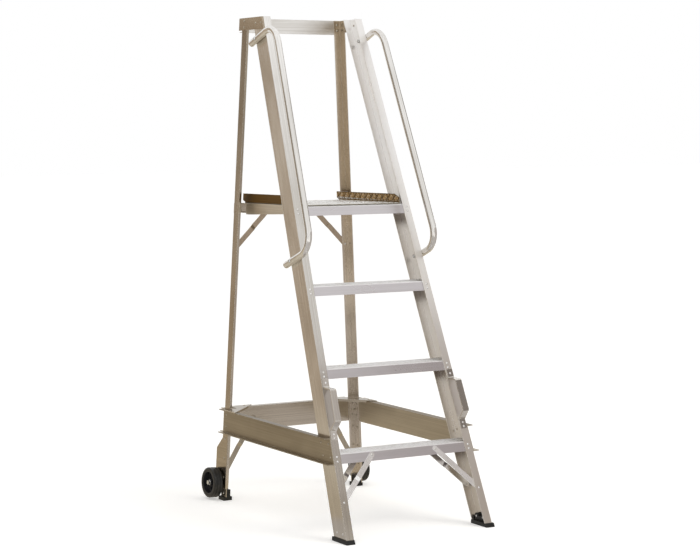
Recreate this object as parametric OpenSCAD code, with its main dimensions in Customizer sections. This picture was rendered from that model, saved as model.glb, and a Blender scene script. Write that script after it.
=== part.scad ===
// Mobile ladder stand: riveted aluminium steps, a guarded work platform and two wheels for tilting and rolling.
// Millimetres, +Z up. The steps face -Y and the origin is on the floor, under the middle of the stand.

/* [Steps and platform] */
// Height from one step to the next
rise = 282.7; // [265:0.1:300]
// Height of the lowest step above the floor
first_step = 295; // [280:1:305]
// Height of the guard rail's top above the platform
guard_h = 685; // [640:1:800]
// Fall of the deck and of the frame's top towards the rear, in degrees
deck_fall = 1.2; // [0:0.1:2.5]
// Gap between the deck's sides and the stiles' flanges
tray_gap = 8; // [4:0.5:12]

/* [Frame] */
// Half of the width over the uprights at the floor
half_w = 306; // [290:1:330]
// Lean of the stiles from the vertical, in degrees
lean = 22.8; // [21:0.1:24]
// Inward slope of both sides towards the top, in degrees
splay = 2.9; // [2:0.1:3.5]
// Clear distance between the stiles and the rear legs at the guard rail's height
leg_gap = 39; // [34:0.5:80]
// Height of the base frame's top above the floor
rail_top = 350; // [340:1:380]

/* [Stiles and legs] */
// Depth of the stile channel
stile_d = 78; // [72:1:84]
// Flange width of the stile channel
stile_w = 30; // [28:0.5:34]
// Wall of the stile channel
stile_t = 3; // [2.5:0.1:4]
// Width of the leg angle along the side
leg_d = 38; // [34:1:44]
// Width of the leg angle across the back
leg_w = 28; // [26:0.5:32]
// Wall of the leg angle
leg_t = 3; // [2.5:0.1:4]

/* [Rails and plates] */
// Height of the base rail channel
rail_h = 90; // [80:1:100]
// Flange width of the base rail channel
rail_w = 26; // [22:0.5:30]
// Wall of the base rail channel
rail_t = 3; // [2.5:0.1:4]
// Side of the corner gusset along each rail
gusset_side = 155; // [145:1:180]
// Thickness of the corner gusset
gusset_t = 3; // [2:0.1:4]
// Depth of the gusset's folded lip
gusset_lip = 6; // [5:0.5:10]
// Height of the guard rail channel
guard_bar_h = 54; // [46:1:58]
// Flange width of the guard rail channel
guard_bar_w = 20; // [18:0.5:26]
// Wall of the guard rail channel
guard_bar_t = 3; // [2.5:0.1:4]
// Height of the top plates that join legs and stiles
top_plate_h = 46; // [42:1:50]
// Thickness of the top plates
top_plate_t = 3; // [2:0.1:4]

/* [Treads and deck] */
// Height of the tread's front and rear lips
lip_h = 34; // [32:0.5:40]
// Wall of the tread's lips
lip_t = 2.5; // [2:0.1:3.5]
// Thickness of the tread's top under the ribs
tread_t = 3; // [2.5:0.1:4]
// Height of the anti-slip ribs
rib_h = 1.2; // [0.8:0.1:2]
// Width of one anti-slip rib
rib_w = 3; // [2:0.1:4]
// Number of anti-slip ribs
rib_count = 9; // [7:1:11]
// Thickness of the deck plate
deck_t = 3; // [2:0.1:4]
// Height of the turned-up deck sides, measured from the deck's underside
toe_h = 36; // [30:1:50]
// Bend radius of the deck plate at its middle
deck_bend = 6; // [4:0.5:8]
// Length of the corner cut at the front of the turned-up sides
toe_cut_l = 34; // [20:1:50]
// Height of the corner cut at the front of the turned-up sides
toe_cut_h = 14; // [8:1:20]
// Length of the corner relief at the rear of the turned-up sides
relief_l = 28; // [16:1:34]
// Height of the corner relief at the rear of the turned-up sides
relief_h = 11; // [6:0.5:13]
// Height of the platform's rear channel
joist_h = 37; // [34:0.5:42]
// Height of the platform's side rails at the front
side_front_h = 32; // [30:0.5:40]
// Height of the platform's side rails at the rear
side_rear_h = 43; // [36:0.5:46]
// Flange width of the platform's side rails and rear channel
joist_w = 24; // [22:0.5:28]
// Wall of the platform's side rails and rear channel
joist_t = 3; // [2.5:0.1:4]

/* [Braces] */
// Width of the flat braces
brace_w = 20; // [18:0.5:22]
// Thickness of the flat braces
brace_t = 3; // [2.5:0.1:4]
// Distance of a tread brace's upper rivet from the middle of the stand
tread_brace_x = 134; // [120:1:150]
// Drop of a tread brace from its upper to its lower rivet
tread_brace_drop = 145; // [130:1:155]
// Distance of a base brace's upper rivet from the middle of the stand
base_brace_x = 165; // [150:1:180]
// Drop of a base brace from its upper to its lower rivet
base_brace_drop = 200; // [185:1:210]
// Distance of a platform brace's upper rivet from the middle of the stand
deck_brace_x = 90; // [75:1:105]
// Drop of a platform brace from its upper to its lower rivet
deck_brace_drop = 152; // [140:1:165]

/* [Handrails and handles] */
// Outside diameter of the handrail tube
tube_d = 25.4; // [24:0.1:28]
// Wall of the handrail tube
tube_t = 2; // [1.5:0.1:3]
// Distance of the handrail's middle from the stile's front face
tube_reach = 93; // [85:1:105]
// Bend radius of the handrail's middle
tube_bend = 70; // [60:1:78]
// Length of the handrail's ends behind the stile
tube_tail = 15; // [8:1:30]
// Clear distance between the top plate and the handrail's upper end
tube_top_gap = 8.5; // [6:0.5:16]
// Distance along the stile from the platform's height down to the handrail's lower end
tube_low_drop = 194; // [180:1:215]
// Width of the lifting handle's flat bar
handle_w = 25; // [22:0.5:26]
// Thickness of the lifting handle's flat bar
handle_t = 4; // [3:0.1:5]
// Stand-off of the lifting handle from the stile
handle_out = 45; // [40:1:55]
// Distance along the stile from the lowest step up to the lifting handle
handle_up = 50; // [46:1:54]
// Distance along the stile from the middle step down to the lifting handle
handle_down = 33; // [28:1:45]

/* [Feet and wheels] */
// Height of the rubber pads
foot_h = 14; // [10:0.5:20]
// Margin of the front pads around the stile
foot_edge = 5; // [3:0.5:8]
// Height of the rubber tongues above the pads
tongue_h = 28; // [25:0.5:36]
// Thickness of the front feet's tongues
tongue_t = 16; // [12:0.5:20]
// Outside diameter of the tyre
tyre_d = 115; // [106:1:120]
// Width of the tyre
tyre_w = 36; // [32:0.5:40]
// Rounding of the tyre's shoulders
tyre_round = 5; // [3:0.5:7]
// Diameter of the tyre's seat on the hub
tyre_seat_d = 92; // [86:1:96]
// Height of the tyre above the floor while the stand rests on its feet
wheel_lift = 5; // [3:0.5:10]
// Distance of the axle behind the rear leg
axle_back = 27; // [24:0.5:32]
// Diameter of the axle bolt
axle_d = 10; // [8:0.5:12]
// Outside diameter of the wheel's bearing bush
bush_d = 16; // [15:0.5:20]
// Thickness of the wheel bracket plate
bracket_t = 4; // [3:0.1:5]
// Rounding of the bracket plate around the axle
bracket_r = 17; // [15:0.5:20]
// Number of round pockets in the hub's web
pocket_count = 5; // [3:1:6]

/* [Fasteners and fits] */
// Diameter of the rivets' shanks
rivet_d = 4.8; // [4:0.1:5.5]
// Diameter of the rivets' heads
rivet_head_d = 9; // [8:0.1:10]
// Height of the rivets' heads
rivet_head_h = 2.2; // [1.5:0.1:2.6]
// Diameter of the handrail bolts
bolt_d = 8; // [6:0.5:9]
// Clearance of a rivet or bolt in its hole, on the radius
hole_fit = 0.05; // [0.02:0.01:0.2]
// Clearance of the bush on the axle, on the radius
axle_fit = 0.05; // [0.02:0.01:0.09]
// Clearance of a tread's lips in the stile's flanges
seat_gap = 0.2; // [0.1:0.05:0.5]
// Clearance of the treads' ends, and of rail ends that meet another piece
end_gap = 0.5; // [0.3:0.1:1]
// Running clearance of the wheel beside its washers
side_play = 0.3; // [0.2:0.05:0.6]

/* [Hidden] */
$fn = 64;

// Left and right
L = -1;
R = 1;

// Larger than the stand in every direction, for cutting planes
reach = 2500;

// Finishes
mill = "#c9c6c0";
bright = "#dedbd5";
rubber = "#1b1b1b";
moulded = "#26262a";
zinc = "#b9bcc0";

// Heights of the walking surfaces and of the frame's top
step_z = [for (i = [0:2]) first_step + i*rise];
deck_z = first_step + 3*rise;
beam_z = deck_z - deck_t;
top_z = deck_z + guard_h;

// Height in a side's own frame of a point at height z and x outward of the side's face
function side_z(z, x = 0) = (z - x*sin(splay))/cos(splay);

// Half width over the uprights at height z
function side_x(z) = half_w - z*tan(splay);

// Distance along the stile of a point at height z, x outward and v behind the stile's front face
function along(z, x = 0, v = 0) = (side_z(z, x) + v*sin(lean))/cos(lean);

// Depth from front to rear of a point at height z, v behind the stile's front face
function stile_y(z, v, x = 0) = side_z(z, x)*tan(lean) + v/cos(lean);

// Distance on the floor from the stiles' front corner to the back of the rear legs
base_depth = stile_y(top_z, stile_d) + leg_gap + leg_d;

// Height of the frame's sloping top at depth y, and at the front of the top plates
function top_at(y) = top_z + (base_depth - y)*tan(deck_fall);
top_plate_back = 7;
front_top = top_at(stile_y(top_z, top_plate_back));

// Planes of the treads' lips: straight across, and clear of the splayed flanges
lean_flat = atan(tan(lean)/cos(splay));
wedge = stile_w*sin(splay)*sin(lean);
function lip_front(z) = stile_y(z, stile_t + seat_gap, -stile_w);
function lip_rear(z) = stile_y(z, stile_d - stile_t - seat_gap, 0);

// The deck tips about the front step's rear top edge
pivot_y = lip_rear(beam_z);
tray_half = side_x(deck_z) - stile_w - tray_gap;
deck_nose = 2;
deck_front = lip_front(beam_z) - pivot_y - deck_nose;
deck_rear = (base_depth + joist_t - pivot_y)/cos(deck_fall);
joist_top = beam_z - (base_depth + joist_t - pivot_y)*tan(deck_fall);
joist_front = base_depth + joist_t - joist_w;

// Base frame levels in the sides' own frame, so that the flange tips touch the gussets
side_rail_top = side_z(rail_top, rail_w);
side_rail_low = side_rail_top - rail_h;
rail_mid = rail_top - rail_h/2;
rail_rivet_dz = rail_h/4;
flange_tip_x = half_w + rail_w*cos(splay) - side_rail_top*sin(splay);
flange_tip_y = base_depth + rail_w;

// Wheel and axle places, in a side's own frame
tyre_r = tyre_d/2;
axle_y = base_depth + axle_back;
axle_z = (tyre_r + wheel_lift)/cos(splay);
washer_t = 3;
washer_r = axle_d;
hub_in = bracket_t + washer_t + side_play;
hub_l = tyre_w - 7;
tyre_in = hub_in + washer_t/2;
head_in = hub_in + hub_l + side_play + washer_t;
head_h = 0.62*axle_d;
nut_h = 0.8*axle_d;
hex_r = 0.87*axle_d;

// Handrail places along the stile
tube_r = tube_d/2;
tube_x = tube_r + seat_gap/2;
tube_high = round(along(front_top - top_plate_h) - tube_r - tube_top_gap);
tube_low = round(along(deck_z) - tube_low_drop);
tube_end = stile_d + tube_tail;
bolt_v = 0.62*stile_d;

// Lifting handle places along the stile
handle_low = along(step_z[0]) + handle_up;
handle_l = along(step_z[1]) - handle_down - handle_low;
handle_foot_low = 34;
handle_foot_high = 33;
handle_slant_low = 24;
handle_slant_high = 18;
handle_bend = 6;

// Middle of the stand's depth, from the front pads' edge to the back of the tyres
mid_y = (axle_y + tyre_r - foot_edge)/2;

module datum() translate([0, -mid_y, 0]) children();

// Frame of one side: x outward from the uprights' face, y to the rear, z up the slope
module side(s)
    mirror([s < 0 ? 1 : 0, 0, 0])
        translate([half_w, 0, 0])
            rotate([0, -splay, 0])
                children();

// Frame of one stile: x outward, y from front to rear across the channel, z along it
module stile_axis(s) side(s) rotate([-lean, 0, 0]) children();

// Frames on the outer faces of the treads' lips: x across, y to the rear, z up the slope
module front_lip_axis() translate([0, lip_front(0), 0]) rotate([-lean_flat, 0, 0]) children();
module rear_lip_axis() translate([0, lip_rear(0), 0]) rotate([-lean_flat, 0, 0]) children();

// Frame of the deck: z is 0 on its underside
module deck_axis() translate([0, pivot_y, beam_z]) rotate([-deck_fall, 0, 0]) children();

// Space under the frame's sloping top, down to the given depth
module below_top(depth = reach)
    translate([0, base_depth, top_z])
        rotate([-deck_fall, 0, 0])
            translate([-reach, -reach, -depth])
                cube([2*reach, 2*reach, depth]);

// Frame of one axle: z outward along the axle
module axle_axis(s) side(s) translate([0, axle_y, axle_z]) rotate([0, 90, 0]) children();

// Space between two heights
module slab(low, high) translate([-reach, -reach, low]) cube([2*reach, 2*reach, high - low]);

// Space between the two sides' faces, moved outward by x
module inside(x) {
    foot = half_w + x/cos(splay);
    crown = foot - reach*tan(splay);
    along_y(-reach, reach) polygon([[-foot, 0], [foot, 0], [crown, reach], [-crown, reach]]);
}

// Space behind a stile's front face, or v behind it
module behind_front(s, v = 0) stile_axis(s) translate([-reach, v, -reach]) cube(2*reach);

// Flat shapes drawn in (y, z) and drawn out along x, or in (x, z) and drawn out along y
module along_x(from, to) translate([from, 0, 0]) rotate([90, 0, 90]) linear_extrude(to - from) children();
module along_y(from, to) translate([0, to, 0]) rotate([90, 0, 0]) linear_extrude(to - from) children();

// Channel section: web on the left, flanges to the right
module channel(h, w, t) {
    difference() {
        square([w, h]);
        translate([t, t]) square([w, h - 2*t]);
    }
}

// Angle section: corner at the origin, legs towards -x and -y
module angle_section(dx, dy, t) {
    translate([-dx, -t]) square([dx, t]);
    translate([-t, -dy]) square([t, dy]);
}

// Bent flat strip: a path with rounded corners, and its outline at thickness t
function unit(v) = v/norm(v);
function turn_points(a, b, c, r, n) =
    let (u = unit(a - b), w = unit(c - b), half = acos(u*w)/2,
         p = b + u*r/tan(half), q = b + w*r/tan(half), m = b + unit(u + w)*r/sin(half),
         from = atan2(p.y - m.y, p.x - m.x), to = atan2(q.y - m.y, q.x - m.x),
         sweep = to - from > 180 ? to - from - 360 : to - from < -180 ? to - from + 360 : to - from)
    [for (i = [0:n]) m + r*[cos(from + sweep*i/n), sin(from + sweep*i/n)]];
function rounded(path, r, n = 6) =
    [path[0],
     for (i = [1:len(path) - 2]) each turn_points(path[i - 1], path[i], path[i + 1], r, n),
     path[len(path) - 1]];
function tangent(path, i) = unit(path[min(i + 1, len(path) - 1)] - path[max(i - 1, 0)]);
function shifted(path, d) =
    [for (i = [0:len(path) - 1]) let (g = tangent(path, i)) path[i] + d*[-g.y, g.x]];
function strip(path, t) =
    let (far = shifted(path, -t/2))
    concat(shifted(path, t/2), [for (i = [len(far) - 1:-1:0]) far[i]]);

// Rivet seated at z = 0 with its head upward, through a stack of the given grip
module rivet(grip) {
    ball = (pow(rivet_head_d/2, 2) + pow(rivet_head_h, 2))/(2*rivet_head_h);
    tail_h = 0.3*rivet_d;
    tail_r = 0.75*rivet_d;
    rotate_extrude()
        intersection() {
            translate([0, rivet_head_h - ball]) circle(ball);
            square([rivet_head_d/2, rivet_head_h]);
        }
    translate([0, 0, -grip - tail_h]) cylinder(r = rivet_d/2, h = grip + tail_h);
    translate([0, 0, -grip - tail_h]) cylinder(r = tail_r, h = tail_h);
}

// Hole for a rivet, a little longer than its grip
module drill(grip, d = rivet_d) translate([0, 0, -grip - 1]) cylinder(r = d/2 + hole_fit, h = grip + 2);

// Rivet places: each module puts its children at every rivet of one kind on one side
step_grip = stile_t + seat_gap + wedge + lip_t;
front_rows = [0.28, 0.72]*lip_h;
rear_rows = [0.42, 0.8]*lip_h;
module step_points(s, heights) {
    stile_axis(s)
        for (z = heights) {
            for (drop = front_rows)
                translate([-stile_w/2, 0, along(z - drop, -stile_w/2)])
                    rotate([90, 0, 0])
                        children();
            for (drop = rear_rows)
                translate([-stile_w/2, stile_d, along(z - drop, -stile_w/2, stile_d)])
                    rotate([-90, 0, 0])
                        children();
        }
}

rail_front_grip = rail_t + stile_t;
module rail_front_points(s) {
    stile_axis(s)
        for (v = [0.2, 0.8]*stile_d, dz = [-1, 1]*rail_rivet_dz)
            translate([rail_t, v, along(rail_mid + dz, 0, v)]) rotate([0, 90, 0]) children();
}

rail_rear_grip = rail_t + leg_t;
module rail_rear_points(s) {
    side(s)
        for (dz = [-1, 1]*rail_rivet_dz)
            translate([rail_t, base_depth - leg_d/2, side_z(rail_mid + dz)]) rotate([0, 90, 0]) children();
}

module rear_rail_points(s) {
    side(s)
        for (x = [0.3, 0.72]*leg_w)
            translate([-x, base_depth - leg_t, side_z(rail_mid)]) rotate([90, 0, 0]) children();
}

gusset_grip = gusset_t + rail_t + rail_w*sin(splay) + 0.05;
gusset_rivet = gusset_side - 1.5*rail_w;
module gusset_points(s) {
    mirror([s < 0 ? 1 : 0, 0, 0])
        translate([flange_tip_x, flange_tip_y, rail_top + gusset_t]) {
            translate([-rail_w/2, -gusset_rivet, 0]) children();
            translate([-gusset_rivet, -rail_w/2, 0]) children();
        }
}

top_grip_stile = top_plate_t + stile_t;
top_grip_leg = top_plate_t + leg_t;
module top_stile_points(s) {
    stile_axis(s)
        for (v = [0.25, 0.75]*stile_d)
            translate([top_plate_t, v, along(top_at(stile_y(top_z, v)) - top_plate_h/2, 0, v)])
                rotate([0, 90, 0])
                    children();
}
module top_leg_points(s) {
    side(s)
        for (dz = [-1, 1]*top_plate_h/4)
            translate([top_plate_t, base_depth - leg_d/2, side_z(top_z - top_plate_h/2 + dz)])
                rotate([0, 90, 0])
                    children();
}
guard_grip = leg_t + guard_bar_t;
module guard_points(s) {
    side(s)
        for (dz = [-1, 1]*guard_bar_h/5)
            translate([-leg_w/2 - leg_t/2, base_depth - leg_t, side_z(top_z - guard_bar_h/2 + dz)])
                rotate([90, 0, 0])
                    children();
}

joist_grip = leg_t + joist_t;
module joist_points(s) {
    side(s)
        for (x = [0.3, 0.72]*leg_w)
            translate([-x, base_depth - leg_t, side_z(joist_top - joist_h/2)]) rotate([90, 0, 0]) children();
}

deck_grip = deck_t + joist_t;
side_rail_end = (joist_front - pivot_y)/cos(deck_fall) - end_gap;
module deck_side_points(s) {
    deck_axis()
        for (y = [0.2, 0.5, 0.8]*side_rail_end)
            translate([s*(tray_half - deck_t - joist_w/2), y, deck_t]) children();
}
deck_rear_grip = deck_t + joist_t + joist_w*tan(deck_fall) + 0.05;
module deck_rear_points(s) {
    deck_axis()
        translate([s*tray_half/2, deck_rear - joist_w/2, deck_t])
            children();
}

handle_grip = handle_t + stile_t;
module handle_points(s) {
    stile_axis(s)
        for (at = [0.2*handle_foot_low, 0.65*handle_foot_low, handle_l - 0.5*handle_foot_high])
            translate([-stile_w/2, -handle_t, handle_low + at]) rotate([90, 0, 0]) children();
}

front_foot_grip = stile_t + tongue_t;
front_foot_rise = foot_h + 0.6*tongue_h;
module front_foot_points(s) {
    stile_axis(s)
        for (v = [0.25, 0.72]*stile_d)
            translate([0, v, along(front_foot_rise, 0, v)]) rotate([0, 90, 0]) children();
}
rear_foot_block = leg_w - leg_t - 6;
rear_foot_grip = leg_t + rear_foot_block;
module rear_foot_points(s) {
    side(s)
        translate([0, base_depth - leg_d/2, side_z(foot_h + tongue_h/2)])
            rotate([0, 90, 0])
                children();
}

bracket_top = side_rail_low - 2;
bracket_low = axle_z - bracket_r;
bracket_grip = bracket_t + leg_t;
module bracket_points(s) {
    side(s)
        for (part = [0.2, 0.55, 0.9])
            translate([bracket_t, base_depth - leg_d/2, bracket_low + part*(bracket_top - bracket_low)])
                rotate([0, 90, 0])
                    children();
}

// Braces: lower rivet, upper rivet (x, height) on the right side
tread_brace_high = first_step - 0.42*lip_h;
tread_brace_low = tread_brace_high - tread_brace_drop;
base_brace_low = rail_mid - base_brace_drop;
deck_brace_high = joist_top - joist_h/2;
deck_brace_low = deck_brace_high - deck_brace_drop;
tread_brace_foot = side_x(tread_brace_low) - stile_w/2;
base_brace_foot = side_x(base_brace_low) - leg_w/2;
deck_brace_foot = side_x(deck_brace_low) - leg_w/2;

tread_brace_grip_low = stile_t + seat_gap + wedge + brace_t;
tread_brace_grip_high = brace_t + lip_t;
module tread_brace_low_points(s) {
    stile_axis(s) {
        translate([-stile_w/2, 0, along(tread_brace_low, -stile_w/2)])
            rotate([90, 0, 0])
                children();
        translate([-stile_w/2, stile_d, along(tread_brace_low, -stile_w/2, stile_d)])
            rotate([-90, 0, 0])
                children();
    }
}
module tread_brace_high_points(s) {
    at = tread_brace_high/cos(lean_flat);
    front_lip_axis() translate([s*tread_brace_x, -brace_t, at]) rotate([90, 0, 0]) children();
    rear_lip_axis() translate([s*tread_brace_x, brace_t, at]) rotate([-90, 0, 0]) children();
}
back_brace_grip_low = leg_t + brace_t;
module back_brace_low_points(s) {
    for (p = [[base_brace_foot, base_brace_low], [deck_brace_foot, deck_brace_low]])
        translate([s*p.x, base_depth - leg_t, p.y]) rotate([90, 0, 0]) children();
}
module base_brace_high_points(s)
    translate([s*base_brace_x, base_depth - brace_t, rail_mid]) rotate([90, 0, 0]) children();
module deck_brace_high_points(s)
    translate([s*deck_brace_x, base_depth, deck_brace_high]) rotate([90, 0, 0]) children();

// Flat brace from its lower to its upper rivet in (x, z), set over halfway: a positive set is to the rear
module brace(low, high, set = -brace_t) {
    run = high - low;
    l = norm(run);
    over = brace_w/2;
    joggle = 4*brace_t;
    y = brace_t/2;
    path = [[-over, y], [l/2 - joggle/2, y], [l/2 + joggle/2, y + set], [l + over, y + set]];
    translate([low.x, 0, low.y])
        rotate([0, -atan2(run.y, run.x), 0])
            intersection() {
                linear_extrude(brace_w, center = true) polygon(strip(rounded(path, 2*brace_t, 3), brace_t));
                rotate([90, 0, 0])
                    linear_extrude(6*brace_t, center = true) {
                        translate([0, -over]) square([l, brace_w]);
                        circle(over);
                        translate([l, 0]) circle(over);
                    }
            }
}

module on_side(s) mirror([s < 0 ? 1 : 0, 0, 0]) children();

// Front stile: channel open towards the middle, cut level at the pad
module stile(s) {
    color(mill) datum() difference() {
        intersection() {
            stile_axis(s)
                translate([0, 0, -stile_d])
                    linear_extrude(along(top_z) + 3*stile_d)
                        mirror([1, 0])
                            channel(stile_d, stile_w, stile_t);
            slab(foot_h, reach);
            below_top();
        }
        step_points(s, concat(step_z, beam_z)) drill(step_grip);
        rail_front_points(s) drill(rail_front_grip);
        top_stile_points(s) drill(top_grip_stile);
        handle_points(s) drill(handle_grip);
        front_foot_points(s) drill(front_foot_grip);
        tread_brace_low_points(s) drill(tread_brace_grip_low);
        handrail_points(s) drill(bolt_grip, bolt_d);
    }
}

// Rear leg: angle with its corner outward and to the rear
module rear_leg(s) {
    color(mill) datum() difference() {
        intersection() {
            side(s)
                translate([0, base_depth, -stile_d])
                    linear_extrude(top_z + 2*stile_d)
                        angle_section(leg_w, leg_d, leg_t);
            slab(foot_h, reach);
            below_top();
        }
        rail_rear_points(s) drill(rail_rear_grip);
        rear_rail_points(s) drill(rail_rear_grip);
        top_leg_points(s) drill(top_grip_leg);
        guard_points(s) drill(guard_grip);
        joist_points(s) drill(joist_grip);
        rear_foot_points(s) drill(rear_foot_grip);
        bracket_points(s) drill(bracket_grip);
        back_brace_low_points(s) drill(back_brace_grip_low);
    }
}

// Tread section at height z: ribbed top between two lips that follow the stiles' lean
module tread_section(z) {
    top = z - rib_h;
    low = z - lip_h;
    wall = lip_t/cos(lean);
    front = lip_front(z);
    pitch = (lip_rear(z) - front - rib_w)/(rib_count - 1);
    difference() {
        polygon([[lip_front(top), top], [lip_front(low), low], [lip_rear(low), low], [lip_rear(top), top]]);
        polygon([
            [lip_front(top - tread_t) + wall, top - tread_t], [lip_front(low - 1) + wall, low - 1],
            [lip_rear(low - 1) - wall, low - 1], [lip_rear(top - tread_t) - wall, top - tread_t]
        ]);
    }
    for (i = [0:rib_count - 1])
        translate([front + i*pitch, top - tread_t/2]) square([rib_w, rib_h + tread_t/2]);
}

module step(z) {
    intersection() {
        along_x(-half_w, half_w) intersection() {
            tread_section(z);
            polygon([
                [lip_front(z - lip_h), z - lip_h], [lip_front(z), z],
                [lip_rear(z), z], [lip_rear(z - lip_h), z - lip_h]
            ]);
        }
        inside(-stile_t - end_gap);
    }
}

module tread(i) {
    color(bright) datum() difference() {
        step(step_z[i]);
        for (s = [L, R]) {
            step_points(s, [step_z[i]]) drill(step_grip);
            if (i == 0) tread_brace_high_points(s) drill(tread_brace_grip_high);
        }
    }
}

module platform_front_step() {
    color(bright) datum() difference() {
        step(beam_z);
        for (s = [L, R]) step_points(s, [beam_z]) drill(step_grip);
    }
}

// Deck: one chequer plate with both sides turned up as toe boards
module platform_deck() {
    side_low = tray_half - deck_t/2;
    side_high = side_low - toe_h*tan(splay);
    path = [[-side_high, toe_h], [-side_low, deck_t/2], [side_low, deck_t/2], [side_high, toe_h]];
    color(bright) datum() difference() {
        deck_axis() difference() {
            along_y(deck_front, deck_rear) polygon(strip(rounded(path, deck_bend), deck_t));
            along_x(-reach, reach) polygon([
                [deck_front - 1, toe_h - toe_cut_h], [deck_front, toe_h - toe_cut_h],
                [deck_front + toe_cut_l, toe_h], [deck_front + toe_cut_l, 2*toe_h], [deck_front - 1, 2*toe_h]
            ]);
            for (s = [L, R])
                on_side(s)
                    along_x(tray_half - deck_t - deck_bend, tray_half + 1)
                        polygon([[deck_rear - relief_l, -1], [deck_rear - relief_l, 0],
                                 [deck_rear, relief_h], [deck_rear + 1, relief_h], [deck_rear + 1, -1]]);
        }
        for (s = [L, R]) {
            deck_side_points(s) drill(deck_grip);
            deck_rear_points(s) drill(deck_rear_grip);
        }
    }
}

// Platform side rail: angle under the deck's edge, deeper towards the rear
module platform_side_rail(s) {
    color(mill) datum() difference() {
        intersection() {
            deck_axis()
                on_side(s)
                    difference() {
                        along_y(-stile_d, side_rail_end)
                            translate([tray_half, 0])
                                angle_section(joist_w, side_rear_h, joist_t);
                        along_x(0, half_w) polygon([
                            [-2*stile_d, -side_front_h], [0, -side_front_h],
                            [side_rail_end + 1, -side_rear_h - 1], [-2*stile_d, -side_rear_h - 1]
                        ]);
                    }
            rear_lip_axis() translate([-reach, end_gap, -reach]) cube(2*reach);
        }
        deck_side_points(s) drill(deck_grip);
    }
}

// Platform rear channel: web behind the legs, flanges forward between them
module platform_rear_channel() {
    cope = 2;
    flange_x = side_x(joist_top) - leg_w/cos(splay) - cope;
    color(mill) datum() difference() {
        intersection() {
            translate([0, base_depth + joist_t, joist_top - joist_h])
                along_x(-half_w, half_w)
                    mirror([1, 0])
                        channel(joist_h, joist_w, joist_t);
            union() {
                translate([-flange_x, -reach, 0]) cube([2*flange_x, 2*reach, reach]);
                translate([-reach, base_depth, 0]) cube([2*reach, reach, reach]);
            }
            inside(-end_gap);
        }
        for (s = [L, R]) {
            joist_points(s) drill(joist_grip);
            deck_rear_points(s) drill(deck_rear_grip);
            deck_brace_high_points(s) drill(brace_t + joist_t);
        }
    }
}

// Base rails: webs on the uprights, flanges outward and to the rear
module base_rail_side(s) {
    color(mill) datum() difference() {
        intersection() {
            side(s)
                translate([0, 0, side_rail_low])
                    along_y(0, base_depth)
                        channel(rail_h, rail_w, rail_t);
            behind_front(s);
        }
        rail_front_points(s) drill(rail_front_grip);
        rail_rear_points(s) drill(rail_rear_grip);
        gusset_points(s) drill(gusset_grip);
    }
}

module base_rail_rear() {
    color(mill) datum() difference() {
        intersection() {
            translate([0, base_depth, rail_top - rail_h])
                along_x(-2*half_w, 2*half_w)
                    channel(rail_h, rail_w, rail_t);
            inside(rail_t);
        }
        for (s = [L, R]) {
            rear_rail_points(s) drill(rail_rear_grip);
            gusset_points(s) drill(gusset_grip);
            base_brace_high_points(s) drill(brace_t + rail_t);
        }
    }
}

// Corner gusset: triangle on the rails' top flanges, notched for the leg, with a lip along its long edge
module corner_gusset(s) {
    notch_gap = 2;
    web_x = side_x(rail_top);
    notch_x = web_x - leg_w - notch_gap;
    notch_y = base_depth - leg_d - notch_gap;
    start = [flange_tip_x, flange_tip_y - gusset_side];
    lip_from = (flange_tip_x - web_x + notch_gap)*sqrt(2) + gusset_t;
    lip_to = (base_depth - notch_gap - start.y)*sqrt(2) - gusset_t;
    color(mill) datum() difference() {
        on_side(s) {
            translate([0, 0, rail_top])
                linear_extrude(gusset_t)
                    polygon([start, [flange_tip_x, notch_y], [notch_x, notch_y],
                             [notch_x, flange_tip_y], [flange_tip_x - gusset_side, flange_tip_y]]);
            translate([start.x, start.y, rail_top - gusset_lip])
                rotate([0, 0, 135])
                    translate([lip_from, -gusset_t, 0])
                        cube([lip_to - lip_from, gusset_t, gusset_lip + gusset_t/2]);
        }
        gusset_points(s) drill(gusset_grip);
    }
}

module tread_brace_front(s) {
    color(mill) datum() difference() {
        front_lip_axis()
            on_side(s)
                brace([tread_brace_foot, tread_brace_low/cos(lean_flat)],
                      [tread_brace_x, tread_brace_high/cos(lean_flat)]);
        tread_brace_low_points(s) drill(tread_brace_grip_low);
        tread_brace_high_points(s) drill(tread_brace_grip_high);
    }
}

module tread_brace_rear(s) {
    color(mill) datum() difference() {
        rear_lip_axis()
            on_side(s)
                mirror([0, 1, 0])
                    brace([tread_brace_foot, tread_brace_low/cos(lean_flat)],
                          [tread_brace_x, tread_brace_high/cos(lean_flat)]);
        tread_brace_low_points(s) drill(tread_brace_grip_low);
        tread_brace_high_points(s) drill(tread_brace_grip_high);
    }
}

module base_brace(s) {
    color(mill) datum() difference() {
        translate([0, base_depth, 0])
            on_side(s)
                brace([base_brace_foot, base_brace_low], [base_brace_x, rail_mid]);
        back_brace_low_points(s) drill(back_brace_grip_low);
        base_brace_high_points(s) drill(brace_t + rail_t);
    }
}

module platform_brace(s) {
    color(mill) datum() difference() {
        translate([0, base_depth, 0])
            on_side(s)
                brace([deck_brace_foot, deck_brace_low], [deck_brace_x, deck_brace_high], joist_t);
        back_brace_low_points(s) drill(back_brace_grip_low);
        deck_brace_high_points(s) drill(brace_t + joist_t);
    }
}

// Top plate: joins leg and stile, and covers the guard rail's end
module top_plate(s) {
    color(mill) datum() difference() {
        intersection() {
            side(s) translate([0, 0, top_z/2]) cube([top_plate_t, base_depth + guard_bar_w, top_z]);
            behind_front(s, top_plate_back);
            below_top(top_plate_h);
        }
        top_stile_points(s) drill(top_grip_stile);
        top_leg_points(s) drill(top_grip_leg);
    }
}

module guard_rail() {
    color(bright) datum() difference() {
        intersection() {
            translate([0, base_depth, top_z - guard_bar_h])
                along_x(-half_w, half_w)
                    channel(guard_bar_h, guard_bar_w, guard_bar_t);
            inside(-end_gap);
        }
        for (s = [L, R]) guard_points(s) drill(guard_grip);
    }
}

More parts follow.
